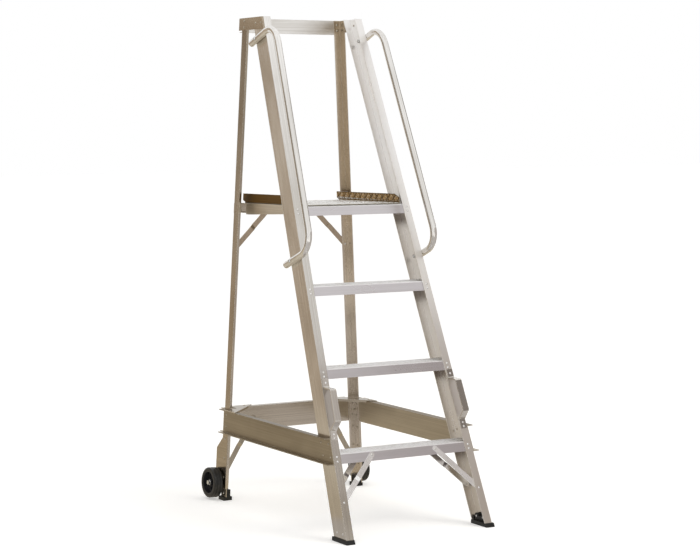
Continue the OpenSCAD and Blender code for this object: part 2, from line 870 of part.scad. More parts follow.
// Handrail: tube bent twice, its ends across the stile's outer face
module tube_ring() {
    difference() {
        circle(tube_r);
        circle(tube_r - tube_t);
    }
}

module tube_arm(at)
    translate([0, tube_end, at])
        rotate([90, 0, 0])
            linear_extrude(tube_end + tube_reach - tube_bend)
                tube_ring();

module tube_turn() rotate([180, -90, 0]) rotate_extrude(angle = 90) translate([tube_bend, 0]) tube_ring();

module handrail(s) {
    turn_y = tube_bend - tube_reach;
    color(bright) datum() difference() {
        stile_axis(s)
            translate([tube_x, 0, 0]) {
                tube_arm(tube_high);
                tube_arm(tube_low);
                translate([0, turn_y, tube_high - tube_bend]) tube_turn();
                translate([0, turn_y, tube_low + tube_bend]) rotate([90, 0, 0]) tube_turn();
                translate([0, -tube_reach, tube_low + tube_bend])
                    linear_extrude(tube_high - tube_low - 2*tube_bend)
                        tube_ring();
            }
        handrail_points(s) drill(bolt_grip, bolt_d);
    }
}

// Handrail bolts: domed head on the tube, nut inside the stile
bolt_grip = tube_x + tube_r + stile_t;
bolt_head_r = 0.9*bolt_d;
bolt_head_h = 0.5*bolt_d;
bolt_nut_h = 0.8*bolt_d;
bolt_nut_r = 0.92*bolt_d;
module handrail_points(s) {
    stile_axis(s)
        for (at = [tube_high, tube_low])
            translate([tube_x + tube_r, bolt_v, at])
                rotate([0, 90, 0])
                    children();
}

module handrail_bolt() {
    ball = (pow(bolt_head_r, 2) + pow(bolt_head_h, 2))/(2*bolt_head_h);
    rotate_extrude()
        intersection() {
            translate([0, bolt_head_h - ball]) circle(ball);
            square([bolt_head_r, bolt_head_h]);
        }
    shank = bolt_grip + bolt_nut_h + 2;
    translate([0, 0, -shank]) cylinder(r = bolt_d/2, h = shank);
}

module handrail_nut() {
    translate([0, 0, -bolt_grip - bolt_nut_h])
        difference() {
            cylinder(r = bolt_nut_r, h = bolt_nut_h, $fn = 6);
            translate([0, 0, -1]) cylinder(r = bolt_d/2 + hole_fit, h = bolt_nut_h + 2);
        }
}

// Lifting handle: flat bar bent off the stile's front flange and slanted back to it
module lift_handle(s) {
    mid = handle_t/2;
    top = handle_l - handle_foot_high;
    grip = mid - handle_out;
    path = [[-mid, handle_l], [-mid, top], [grip, top - handle_slant_high],
            [grip, handle_foot_low + handle_slant_low], [-mid, handle_foot_low], [-mid, 0]];
    color(bright) datum() difference() {
        stile_axis(s)
            translate([0, 0, handle_low])
                along_x(-stile_w/2 - handle_w/2, -stile_w/2 + handle_w/2)
                    polygon(strip(rounded(path, handle_bend), handle_t));
        handle_points(s) drill(handle_grip);
    }
}

// Front foot: rubber pad under the stile, with a tongue riveted inside the channel
module front_foot(s) {
    tongue_from = 0.1*stile_d;
    tongue_to = 0.9*stile_d;
    slope = foot_h*tan(lean);
    color(rubber) datum() difference() {
        union() {
            on_side(s)
                along_x(half_w - stile_w, half_w + foot_edge)
                    polygon([[-foot_edge, 0], [stile_y(foot_h, stile_d) + foot_edge, 0],
                             [stile_y(foot_h, stile_d) + foot_edge, foot_h], [slope - foot_edge, foot_h]]);
            intersection() {
                stile_axis(s)
                    translate([-stile_t - tongue_t, tongue_from, -stile_d])
                        cube([tongue_t, tongue_to - tongue_from, 2*stile_d + tongue_h]);
                slab(foot_h/2, front_foot_rise);
            }
            front_foot_points(s)
                translate([0, 0, -stile_t - tongue_t])
                    cylinder(r = 0.4*tongue_h, h = tongue_t);
        }
        front_foot_points(s) drill(front_foot_grip);
    }
}

// Rear foot: rubber pad under the leg, with a block inside the angle
module rear_foot(s) {
    color(rubber) datum() difference() {
        union() {
            on_side(s)
                translate([half_w - leg_w - foot_edge/2, base_depth - leg_d + foot_edge, 0])
                    cube([leg_w + 1.5*foot_edge, leg_d + foot_edge, foot_h]);
            intersection() {
                side(s)
                    translate([-leg_t - rear_foot_block, base_depth - leg_d + foot_edge, 0])
                        cube([rear_foot_block, leg_d - foot_edge - leg_t, side_z(foot_h + tongue_h)]);
                slab(foot_h/2, foot_h + tongue_h);
            }
        }
        rear_foot_points(s) drill(rear_foot_grip);
    }
}

// Wheel bracket: plate on the leg's outer face, widened to the rear for the axle
module wheel_bracket(s) {
    front = base_depth - leg_d;
    back = axle_y + bracket_r;
    neck = 18;
    chamfer = bracket_top - neck - (back - base_depth);
    color(mill) datum() difference() {
        side(s)
            along_x(0, bracket_t)
                polygon([[front, bracket_low], [front, bracket_top], [base_depth, bracket_top],
                         [base_depth, bracket_top - neck], [back, chamfer],
                         for (a = [0:-9:-90]) [axle_y, axle_z] + bracket_r*[cos(a), sin(a)]]);
        bracket_points(s) drill(bracket_grip);
        axle_axis(s) translate([0, 0, -1]) cylinder(r = axle_d/2 + hole_fit, h = bracket_t + 2);
    }
}

// Tyre: rubber ring with rounded shoulders and two grooves round the tread
module tyre(s) {
    groove_w = 2.5;
    groove_h = 2;
    seat_r = tyre_seat_d/2;
    flat = tyre_r - tyre_round;
    color(rubber) datum() axle_axis(s)
        translate([0, 0, tyre_in])
            rotate_extrude()
                difference() {
                    union() {
                        translate([seat_r, 0]) square([flat - seat_r, tyre_w]);
                        translate([seat_r, tyre_round]) square([tyre_r - seat_r, tyre_w - 2*tyre_round]);
                        for (y = [tyre_round, tyre_w - tyre_round]) translate([flat, y]) circle(tyre_round);
                    }
                    for (y = [1, 2]*tyre_w/3)
                        translate([tyre_r - groove_h, y - groove_w/2]) square([2*groove_h, groove_w]);
                }
}

// Wheel hub: rim, recessed web with round pockets, and a boss for the bush
module wheel_hub(s) {
    rim_r = tyre_seat_d/2 - hole_fit;
    rim_t = 5;
    rim_w = tyre_w - 2;
    boss_r = bush_d/2 + 4;
    web_t = 6;
    web_in = (hub_l - web_t)/2;
    pocket_floor = 2;
    pocket_at = (rim_r - rim_t + boss_r)/2;
    pocket_r = 0.4*(rim_r - rim_t - boss_r);
    color(moulded) datum() axle_axis(s)
        translate([0, 0, hub_in])
            difference() {
                rotate_extrude() {
                    translate([rim_r - rim_t, tyre_in - hub_in + 1]) square([rim_t, rim_w]);
                    translate([bush_d/2 + hole_fit, web_in]) square([rim_r - rim_t - bush_d/2, web_t]);
                    translate([bush_d/2 + hole_fit, 0]) square([boss_r - bush_d/2, hub_l]);
                }
                for (i = [0:pocket_count - 1])
                    rotate([0, 0, i*360/pocket_count])
                        translate([pocket_at, 0, web_in + pocket_floor])
                            cylinder(r = pocket_r, h = hub_l);
            }
}

module wheel_bush(s) {
    color(zinc) datum() axle_axis(s)
        translate([0, 0, hub_in])
            difference() {
                cylinder(r = bush_d/2, h = hub_l);
                translate([0, 0, -1]) cylinder(r = axle_d/2 + axle_fit, h = hub_l + 2);
            }
}

// Axle: bolt from outside through the wheel and the bracket plate
module axle_bolt(s) {
    tip = washer_t + nut_h + 3;
    color(zinc) datum() axle_axis(s) {
        translate([0, 0, head_in]) cylinder(r = hex_r, h = head_h, $fn = 6);
        translate([0, 0, -tip]) cylinder(r = axle_d/2, h = tip + head_in);
    }
}

module axle_nut(s) {
    color(zinc) datum() axle_axis(s)
        translate([0, 0, -washer_t - nut_h])
            difference() {
                cylinder(r = hex_r, h = nut_h, $fn = 6);
                translate([0, 0, -1]) cylinder(r = axle_d/2 + hole_fit, h = nut_h + 2);
            }
}

module axle_washers(s) {
    color(zinc) datum() axle_axis(s)
        for (at = [-washer_t, bracket_t, head_in - washer_t])
            translate([0, 0, at])
                difference() {
                    cylinder(r = washer_r, h = washer_t);
                    translate([0, 0, -1]) cylinder(r = axle_d/2 + hole_fit, h = washer_t + 2);
                }
}

// Rivets, in groups
module step_rivets()
    color(zinc) datum() for (s = [L, R]) step_points(s, concat(step_z, beam_z)) rivet(step_grip);

module base_rivets()
    color(zinc) datum() for (s = [L, R]) {
        rail_front_points(s) rivet(rail_front_grip);
        rail_rear_points(s) rivet(rail_rear_grip);
        rear_rail_points(s) rivet(rail_rear_grip);
        gusset_points(s) rivet(gusset_grip);
    }

module brace_rivets()
    color(zinc) datum() for (s = [L, R]) {
        tread_brace_low_points(s) rivet(tread_brace_grip_low);
        tread_brace_high_points(s) rivet(tread_brace_grip_high);
        back_brace_low_points(s) rivet(back_brace_grip_low);
        base_brace_high_points(s) rivet(brace_t + rail_t);
        deck_brace_high_points(s) rivet(brace_t + joist_t);
    }

module handle_rivets() color(zinc) datum() for (s = [L, R]) handle_points(s) rivet(handle_grip);

module foot_rivets()
    color(zinc) datum() for (s = [L, R]) {
        front_foot_points(s) rivet(front_foot_grip);
        rear_foot_points(s) rivet(rear_foot_grip);
    }

module top_rivets()
    color(zinc) datum() for (s = [L, R]) {
        top_stile_points(s) rivet(top_grip_stile);
        top_leg_points(s) rivet(top_grip_leg);
        guard_points(s) rivet(guard_grip);
    }

module platform_rivets()
    color(zinc) datum() for (s = [L, R]) {
        joist_points(s) rivet(joist_grip);
        deck_side_points(s) rivet(deck_grip);
        deck_rear_points(s) rivet(deck_rear_grip);
    }

module bracket_rivets() color(zinc) datum() for (s = [L, R]) bracket_points(s) rivet(bracket_grip);

module handrail_bolts() color(zinc) datum() for (s = [L, R]) handrail_points(s) handrail_bolt();
module handrail_nuts() color(zinc) datum() for (s = [L, R]) handrail_points(s) handrail_nut();

stile(L);  // stile_left
stile(R);  // stile_right
rear_leg(L);  // rear_leg_left
rear_leg(R);  // rear_leg_right
tread(0);  // tread_lower
tread(1);  // tread_middle
tread(2);  // tread_upper
platform_front_step();
platform_deck();
platform_side_rail(L);  // platform_side_rail_left
platform_side_rail(R);  // platform_side_rail_right
platform_rear_channel();
base_rail_side(L);  // base_rail_left
base_rail_side(R);  // base_rail_right
base_rail_rear();
corner_gusset(L);  // corner_gusset_left
corner_gusset(R);  // corner_gusset_right
tread_brace_front(L);  // tread_brace_front_left
tread_brace_front(R);  // tread_brace_front_right
tread_brace_rear(L);  // tread_brace_rear_left
tread_brace_rear(R);  // tread_brace_rear_right
base_brace(L);  // base_brace_left
base_brace(R);  // base_brace_right
platform_brace(L);  // platform_brace_left
platform_brace(R);  // platform_brace_right
top_plate(L);  // top_plate_left
top_plate(R);  // top_plate_right
guard_rail();
handrail(L);  // handrail_left
handrail(R);  // handrail_right
handrail_bolts();
handrail_nuts();
lift_handle(L);  // lift_handle_left
lift_handle(R);  // lift_handle_right
front_foot(L);  // front_foot_left
front_foot(R);  // front_foot_right
rear_foot(L);  // rear_foot_left
rear_foot(R);  // rear_foot_right
wheel_bracket(L);  // wheel_bracket_left
wheel_bracket(R);  // wheel_bracket_right
tyre(L);  // tyre_left
tyre(R);  // tyre_right
wheel_hub(L);  // wheel_hub_left
wheel_hub(R);  // wheel_hub_right
wheel_bush(L);  // wheel_bush_left
wheel_bush(R);  // wheel_bush_right
axle_bolt(L);  // axle_bolt_left
axle_bolt(R);  // axle_bolt_right
axle_nut(L);  // axle_nut_left
axle_nut(R);  // axle_nut_right
axle_washers(L);  // axle_washers_left
axle_washers(R);  // axle_washers_right
step_rivets();
base_rivets();
brace_rivets();
handle_rivets();
foot_rivets();
top_rivets();
platform_rivets();
bracket_rivets();
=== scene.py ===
import math

import bmesh
import bpy
from mathutils import Matrix, Vector


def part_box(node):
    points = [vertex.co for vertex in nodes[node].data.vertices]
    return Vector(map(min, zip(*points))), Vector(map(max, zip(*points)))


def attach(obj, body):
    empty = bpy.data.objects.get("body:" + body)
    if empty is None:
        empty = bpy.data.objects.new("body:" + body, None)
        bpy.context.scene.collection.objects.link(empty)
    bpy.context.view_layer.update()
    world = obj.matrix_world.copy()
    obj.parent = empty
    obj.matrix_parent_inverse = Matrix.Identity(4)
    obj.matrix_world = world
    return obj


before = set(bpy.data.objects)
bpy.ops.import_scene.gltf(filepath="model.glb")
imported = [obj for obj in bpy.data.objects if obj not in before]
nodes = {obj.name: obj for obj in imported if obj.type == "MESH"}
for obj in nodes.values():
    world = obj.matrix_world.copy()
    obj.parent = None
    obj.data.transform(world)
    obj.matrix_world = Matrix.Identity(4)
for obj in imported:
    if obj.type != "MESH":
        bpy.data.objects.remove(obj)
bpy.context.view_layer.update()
scene = bpy.context.scene
scene.view_settings.view_transform = "Standard"
mm = 0.001
print("stage: frame loaded,", len(nodes), "nodes")


# sRGB hex to a linear colour
def linear(code):
    parts = [int(code[i:i + 2], 16) / 255 for i in (1, 3, 5)]
    return tuple(c / 12.92 if c <= 0.04045 else ((c + 0.055) / 1.055) ** 2.4 for c in parts) + (1.0,)


# One shader node with its settings, values and links. In a Mix node of colours, 0 is the share, 6 and 7 are
# the colours and output 2 is their mix. For plain values these are 0, 2, 3 and output 0
def addNode(tree, kind, inputs=None, **settings):
    node = tree.nodes.new("ShaderNode" + kind)
    for key, value in settings.items():
        setattr(node, key, value)
    for key, value in (inputs or {}).items():
        if isinstance(value, bpy.types.NodeSocket):
            tree.links.new(value, node.inputs[key])
        else:
            node.inputs[key].default_value = value
    return node


def newTree(name):
    material = bpy.data.materials.new(name)
    material.use_nodes = True
    material.node_tree.nodes.clear()
    return material, material.node_tree


# How far the stiles lean back, both sides splay and the deck falls to the rear, in degrees
angles = {"lean": 22.8, "splay": 2.9, "fall": 1.2}
lean, splay, fall = (math.radians(angles[key]) for key in ("lean", "splay", "fall"))

# Directions that the lines of drawn metal run in
drawn = {
    "stileLeft": Vector((math.sin(splay) * math.cos(lean), math.sin(lean), math.cos(lean))),
    "stileRight": Vector((-math.sin(splay) * math.cos(lean), math.sin(lean), math.cos(lean))),
    "legLeft": Vector((math.sin(splay), 0, math.cos(splay))),
    "legRight": Vector((-math.sin(splay), 0, math.cos(splay))),
    "across": Vector((1, 0, 0)),
    "along": Vector((0, 1, 0)),
}

# Mill-finish aluminium, extruded and drawn: soft grey lines along the length, broad paler and duller patches,
# corners rubbed bright, painted brown shade where pieces meet. Real draw lines are too fine to show, so the
# grain is coarsened. Colours are the metal's own, as seen when it mirrors a white room.
# grain: a line's length in metres and its width in mm. blotch and edge: mm.
# tuck: how open a spot still is where the painted shade starts, and where it is darkest, in its own colour.
# tints: each multiplies the colour between two heights in metres, or where a face turns along an axis, with
# X and Y either way and Z upwards. A fifth value fades the tint in from one height to another.
mill = {
    "dull": "#D4D0CA", "bright": "#F6F4F1", "worn": "#FFFFFF", "shadeColour": "#8C7F6C", "tuck": (0.42, 0.18),
    "rough": (0.15, 0.25), "grain": (0.5, 2.2), "blotch": 120, "edge": 1.3, "bump": 0.06, "tints": [],
}
# Stiles: pale and bright, with painted shade towards the floor and on their front and back faces
leftStileMill = dict(mill, tints=[("Y", 0.8, 0.9, "#E2E0DD", (1.62, 1.40)), ("height", 0.6, 0.1, "#E4DFD7")])
# The right stile is a paler, painted-lit copy of the left, with painted shade under the platform
rightStileMill = dict(mill, dull="#F6F4F1", bright="#FFFFFF", rough=(0.26, 0.38),
                      tints=[("Y", 0.5, 0.8, "#F1EFED"), ("height", 1.30, 0.95, "#F0EEEB"),
                             ("height", 0.7, 0.05, "#EEEAE4")])
# Legs, rails and plates: weathered to a warm grey. Rails, plates and braces are browner where they face up,
# from the base rails' upper flange upwards
flangeTop = ("Z", 0.75, 0.95, "#A69C8A", (0.339, 0.341))
legMill = dict(mill, dull="#BDB3A4", bright="#D8CFC0", worn="#E8E2D8", tints=[flangeTop])
# Painted shade darkens the legs towards the top; the right leg is a paler, painted-lit copy of the left
leftLegMill = dict(legMill, tints=[("height", 0.9, 1.5, "#C8C2BA")])
rightLegMill = dict(legMill, dull="#CFC7BC", bright="#EAE3D9", tints=[("height", 0.6, 1.2, "#DED7CC")])
# The left rail is painted darker than the right, a shaded copy of the same metal
leftRailMill = dict(legMill, dull="#978D7B", bright="#B6AB97", worn="#DED7CB", rough=(0.34, 0.46))
rightRailMill = dict(legMill, dull="#AFA594", bright="#CBC1B0", rough=(0.34, 0.46))
plateMill = dict(legMill, dull="#A99C88", bright="#C6B8A4")
# Platform side rails and guard rail: less weathered, with a soft sheen
deckRailMill = dict(mill, dull="#C8C0B2", bright="#E8E1D4", rough=(0.36, 0.48))
guardMill = dict(mill, rough=(0.30, 0.42))
# Flat bar: bright tread braces, greyer lifting handles, and base and platform braces browner than the legs
treadBraceMill = dict(mill, dull="#E2DFDA", bright="#FFFFFF")
baseBraceMill = dict(legMill, dull="#AAA08F", bright="#C8BEAC")
deckBraceMill = dict(legMill, dull="#AC9D89", bright="#CCBBA5")
leftHandleMill = dict(mill, dull="#C6C0B7", bright="#E8E4DE")
# The right handle's front and back faces carry painted shade
rightHandleMill = dict(leftHandleMill, tints=[("Y", 0.8, 0.9, "#B8B4B1")])
# Bent tube: hands keep it smooth, with sharp long glints
tubeMill = dict(mill, dull="#CBC7C1", bright="#F4F2EF", rough=(0.10, 0.20))
# Ribbed treads: nearly white, with deeper lines along the ribs
treadMill = dict(mill, dull="#F0EEEC", bright="#FFFFFF", rough=(0.24, 0.36), grain=(0.3, 2.0), bump=0.10)
# Rolled chequer plate: matt and darker than its bars, with a painted brown reflection on its turned-up sides
chequerMill = dict(mill, dull="#8F8878", bright="#BAB3A3", rough=(0.48, 0.62), grain=(0.2, 3.0), blotch=60,
                   tints=[("X", 0.6, 0.9, "#B4935B")])
# The chequer plate's raised bars: trodden bright on the deck, and on the sides a painted brown reflection
# like the plate's
barMill = dict(mill, dull="#ECE9E2", bright="#FFFFFF", rough=(0.18, 0.30), grain=(0.05, 3.0), blotch=25,
               bump=0.05, tints=[("height", 1.147, 1.151, "#D6B47E")])
# Set rivets: bright domes in a ring of painted shade, duller at the base, brackets, top plates and platform
rivetMill = dict(mill, dull="#D2CEC7", bright="#FFFFFF", rough=(0.18, 0.30), grain=(0.01, 2.0), blotch=8,
                 edge=0.5, bump=0.05, shadeColour="#5E564B", tuck=(0.85, 0.5))
dullRivetMill = dict(rivetMill, dull="#A59C8D", bright="#CFC7B8", worn="#E2DCD2")
# Zinc-plated steel bolts, nuts and washers: a cooler, mottled grey
zincSteel = dict(mill, dull="#C9CACA", bright="#EFF0F0", rough=(0.18, 0.34), grain=(0.01, 1.0), blotch=6,
                 edge=0.5, bump=0.05)

# What all the metal finishes share. Sizes are in mm. Ranges are of noise, and cornerRange is of the cosine
# between the rounded and the flat normal
metalSurface = {
    "lineDetail": 3.0, "lineRough": 0.6, "patchDetail": 4.0, "patchWarp": 0.4, "patchStretch": 3,
    "toneRange": (0.72, 1.28), "speck": 9, "speckDetail": 3.0, "rubRange": (0.38, 0.6),
    "cornerRange": (0.99, 0.86), "tuckReach": 4, "shadeMost": 0.8, "roughRange": (0.3, 0.7),
    "bumpDepth": 0.4, "samples": 4,
}


# the metal's colour multiplied by one of its tints
def tinted(tree, metal, place, normal, tint):
    kind, start, end, colour = tint[:4]
    if kind == "height":
        value = addNode(tree, "SeparateXYZ", {0: place}).outputs["Z"]
    else:
        value = addNode(tree, "SeparateXYZ", {0: normal}).outputs[kind]
    if kind in "XY":
        value = addNode(tree, "Math", {0: value}, operation="ABSOLUTE").outputs[0]
    share = addNode(tree, "MapRange", {"Value": value, "From Min": start, "From Max": end})
    if len(tint) > 4:
        low, high = tint[4]
        level = addNode(tree, "SeparateXYZ", {0: place}).outputs["Z"]
        within = addNode(tree, "MapRange", {"Value": level, "From Min": low, "From Max": high})
        share = addNode(tree, "Math", {0: share.outputs[0], 1: within.outputs[0]}, operation="MULTIPLY")
    return addNode(tree, "Mix", {0: share.outputs[0], 6: metal.outputs[2], 7: linear(colour)},
                   data_type="RGBA", blend_type="MULTIPLY")


# a tread's top is scuffed by shoes, from the lip's upper edge up
def troddenRough(tree, look, place, rough):
    low, high, scuffed = look["trodden"]
    level = addNode(tree, "SeparateXYZ", {0: place}).outputs["Z"]
    share = addNode(tree, "MapRange", {"Value": level, "From Min": low, "From Max": high})
    return addNode(tree, "Mix", {0: share.outputs[0], 2: rough, 3: scuffed}).outputs[0]


def makeMetal(name, look, direction):
    material, tree = newTree(name)
    place = addNode(tree, "TexCoord").outputs["Object"]
    flat = addNode(tree, "NewGeometry").outputs["Normal"]
    turn = direction.to_track_quat("X", "Z").to_euler()
    shared = metalSurface

    # lines along the drawing, patches, and small specks that break up the wear
    length, width = look["grain"][0], look["grain"][1] * mm
    lines = addNode(tree, "Mapping", {"Vector": place, "Rotation": turn, "Scale": (length, width, width)},
                    vector_type="TEXTURE")
    streak = addNode(tree, "TexNoise", {"Vector": lines.outputs[0], "Scale": 1.0,
                                        "Detail": shared["lineDetail"], "Roughness": shared["lineRough"]})
    patch = look["blotch"] * mm
    broad = addNode(tree, "Mapping", {"Vector": place, "Rotation": turn,
                                      "Scale": (patch * shared["patchStretch"], patch, patch)},
                    vector_type="TEXTURE")
    blotch = addNode(tree, "TexNoise", {"Vector": broad.outputs[0], "Scale": 1.0,
                                        "Detail": shared["patchDetail"], "Distortion": shared["patchWarp"]})
    speck = addNode(tree, "TexNoise", {"Vector": place, "Scale": 1 / (shared["speck"] * mm),
                                       "Detail": shared["speckDetail"]})

    # the metal's own colour, then its tints
    low, high = shared["toneRange"]
    tone = addNode(tree, "Math", {0: streak.outputs["Fac"], 1: blotch.outputs["Fac"]}, operation="ADD")
    shade = addNode(tree, "MapRange", {"Value": tone.outputs[0], "From Min": low, "From Max": high})
    metal = addNode(tree, "Mix", {0: shade.outputs[0], 6: linear(look["dull"]), 7: linear(look["bright"])},
                    data_type="RGBA")
    for tint in look["tints"]:
        metal = tinted(tree, metal, place, flat, tint)

    # painted brown shade in tucked-in places
    shallow, deep = look["tuck"]
    reach = addNode(tree, "AmbientOcclusion", {"Distance": shared["tuckReach"] * mm},
                    samples=shared["samples"])
    tucked = addNode(tree, "MapRange", {"Value": reach.outputs["AO"], "From Min": shallow, "From Max": deep,
                                        "To Max": shared["shadeMost"]})
    shaded = addNode(tree, "Mix", {0: tucked.outputs[0], 6: metal.outputs[2], 7: linear(look["shadeColour"])},
                     data_type="RGBA", blend_type="MULTIPLY")

    # corners rounded in the shading only, with bright wear along them
    bevel = addNode(tree, "Bevel", {"Radius": look["edge"] * mm}, samples=shared["samples"])
    turned = addNode(tree, "VectorMath", {0: bevel.outputs[0], 1: flat}, operation="DOT_PRODUCT")
    low, high = shared["cornerRange"]
    corner = addNode(tree, "MapRange", {"Value": turned.outputs["Value"], "From Min": low, "From Max": high})
    low, high = shared["rubRange"]
    rub = addNode(tree, "MapRange", {"Value": speck.outputs["Fac"], "From Min": low, "From Max": high})
    wear = addNode(tree, "Math", {0: corner.outputs[0], 1: rub.outputs[0]}, operation="MULTIPLY")
    colour = addNode(tree, "Mix", {0: wear.outputs[0], 6: shaded.outputs[2], 7: linear(look["worn"])},
                     data_type="RGBA")

    # smoother and duller patches, and a slight relief of the lines
    low, high = shared["roughRange"]
    smooth, coarse = look["rough"]
    rough = addNode(tree, "MapRange", {"Value": blotch.outputs["Fac"], "From Min": low, "From Max": high,
                                       "To Min": smooth, "To Max": coarse}).outputs[0]
    if "trodden" in look:
        rough = troddenRough(tree, look, place, rough)
    bump = addNode(tree, "Bump", {"Strength": look["bump"], "Distance": shared["bumpDepth"] * mm,
                                  "Height": streak.outputs["Fac"], "Normal": bevel.outputs[0]})
    shader = addNode(tree, "BsdfPrincipled", {"Base Color": colour.outputs[2], "Metallic": 1.0,
                                              "Roughness": rough, "Normal": bump.outputs[0]})
    addNode(tree, "OutputMaterial", {"Surface": shader.outputs[0]})
    return material


# Below its scuffed top a tread's lip is darker, painted shade. lipTop and lipLow are mm under the top
tread = {"lipTop": 2.5, "lipLow": 4, "lipShade": "#CFCBCD", "scuffed": 0.6}


def makeTread(name, nodeName):
    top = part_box(nodeName)[1].z
    high, low = top - tread["lipTop"] * mm, top - tread["lipLow"] * mm
    paintedLipShade = ("height", high, low, tread["lipShade"])
    look = dict(treadMill, tints=[paintedLipShade], trodden=(low, high, tread["scuffed"]))
    return makeMetal(name, look, drawn["across"])


# Moulded rubber and nylon: near black, a fine pebbled skin, greyer dust in patches, and greyer corners
# that are partly dust and partly a painted highlight.
# Sizes are in mm, and the skin is coarser than the real one so that it shows
footRubber = {
    "base": "#060605", "dust": "#141310", "grain": 2.5, "dustPatch": 30, "rough": (0.42, 0.60), "edge": 0.8,
}
tyreRubber = {
    "base": "#161615", "dust": "#3C3A36", "grain": 1.6, "dustPatch": 22, "rough": (0.34, 0.52), "edge": 0.8,
}
hubNylon = {
    "base": "#1F1F21", "dust": "#37363A", "grain": 0.9, "dustPatch": 16, "rough": (0.34, 0.48), "edge": 0.6,
}
mouldedSurface = {
    "skinDetail": 2.0, "dustDetail": 5.0, "dustRough": 0.65, "cornerRange": (0.99, 0.84), "cornerMost": 0.5,
    "dustRange": (0.45, 0.75), "dustMost": 0.8, "roughRange": (0.3, 0.7), "bump": 0.25, "bumpDepth": 0.3,
    "samples": 4,
}


def makeMoulded(name, look):
    material, tree = newTree(name)
    place = addNode(tree, "TexCoord").outputs["Object"]
    flat = addNode(tree, "NewGeometry").outputs["Normal"]
    shared = mouldedSurface
    skin = addNode(tree, "TexNoise", {"Vector": place, "Scale": 1 / (look["grain"] * mm),
                                      "Detail": shared["skinDetail"]})
    dust = addNode(tree, "TexNoise", {"Vector": place, "Scale": 1 / (look["dustPatch"] * mm),
                                      "Detail": shared["dustDetail"], "Roughness": shared["dustRough"]})
    bevel = addNode(tree, "Bevel", {"Radius": look["edge"] * mm}, samples=shared["samples"])
    # greyer corners, partly dust and partly a painted highlight, and dust in patches
    turned = addNode(tree, "VectorMath", {0: bevel.outputs[0], 1: flat}, operation="DOT_PRODUCT")
    low, high = shared["cornerRange"]
    corner = addNode(tree, "MapRange", {"Value": turned.outputs["Value"], "From Min": low, "From Max": high,
                                        "To Max": shared["cornerMost"]})
    low, high = shared["dustRange"]
    patch = addNode(tree, "MapRange", {"Value": dust.outputs["Fac"], "From Min": low, "From Max": high,
                                       "To Max": shared["dustMost"]})
    dustAndEdgeHighlight = addNode(tree, "Math", {0: corner.outputs[0], 1: patch.outputs[0]}, operation="ADD", use_clamp=True)
    colour = addNode(tree, "Mix", {0: dustAndEdgeHighlight.outputs[0], 6: linear(look["base"]), 7: linear(look["dust"])},
                     data_type="RGBA")
    low, high = shared["roughRange"]
    smooth, coarse = look["rough"]
    rough = addNode(tree, "MapRange", {"Value": dust.outputs["Fac"], "From Min": low, "From Max": high,
                                       "To Min": smooth, "To Max": coarse})
    bump = addNode(tree, "Bump", {"Strength": shared["bump"], "Distance": shared["bumpDepth"] * mm,
                                  "Height": skin.outputs["Fac"], "Normal": bevel.outputs[0]})
    shader = addNode(tree, "BsdfPrincipled", {"Base Color": colour.outputs[2], "Roughness": rough.outputs[0],
                                              "Normal": bump.outputs[0]})
    addNode(tree, "OutputMaterial", {"Surface": shader.outputs[0]})
    return material


# Each metal finish with its look and the way its lines run, each tread's node, and the moulded finishes
metalFinishes = {
    "millAluminiumStileLeft": (leftStileMill, "stileLeft"),
    "millAluminiumStileRight": (rightStileMill, "stileRight"),
    "millAluminiumLegLeft": (leftLegMill, "legLeft"),
    "millAluminiumLegRight": (rightLegMill, "legRight"),
    "millAluminiumRailLeft": (leftRailMill, "along"),
    "millAluminiumRailRight": (rightRailMill, "along"),
    "millAluminiumAcross": (legMill, "across"),
    "millAluminiumGuard": (guardMill, "across"),
    "millAluminiumDeckRail": (deckRailMill, "along"),
    "millAluminiumPlate": (plateMill, "along"),
    "flatAluminiumTreadBrace": (treadBraceMill, "legLeft"),
    "flatAluminiumBaseBrace": (baseBraceMill, "legLeft"),
    "flatAluminiumDeckBrace": (deckBraceMill, "legLeft"),
    "flatAluminiumHandleLeft": (leftHandleMill, "stileLeft"),
    "flatAluminiumHandleRight": (rightHandleMill, "stileRight"),
    "bentAluminiumTubeLeft": (tubeMill, "stileLeft"),
    "bentAluminiumTubeRight": (tubeMill, "stileRight"),
    "chequerAluminiumPlate": (chequerMill, "along"),
    "chequerAluminiumBars": (barMill, "along"),
    "setAluminiumRivets": (rivetMill, "legLeft"),
    "setAluminiumRivetsDull": (dullRivetMill, "legLeft"),
    "zincPlatedSteel": (zincSteel, "across"),
}
treadFinishes = {
    "ribbedAluminiumLower": "tread_lower",
    "ribbedAluminiumMiddle": "tread_middle",
    "ribbedAluminiumUpper": "tread_upper",
    "ribbedAluminiumFrontStep": "platform_front_step",
}
mouldedFinishes = {
    "mouldedRubberFeet": footRubber,
    "mouldedRubberTyres": tyreRubber,
    "mouldedNylonHubs": hubNylon,
}
finishes = {name: makeMetal(name, look, drawn[way]) for name, (look, way) in metalFinishes.items()}
for name, nodeName in treadFinishes.items():
    finishes[name] = makeTread(name, nodeName)
for name, look in mouldedFinishes.items():
    finishes[name] = makeMoulded(name, look)

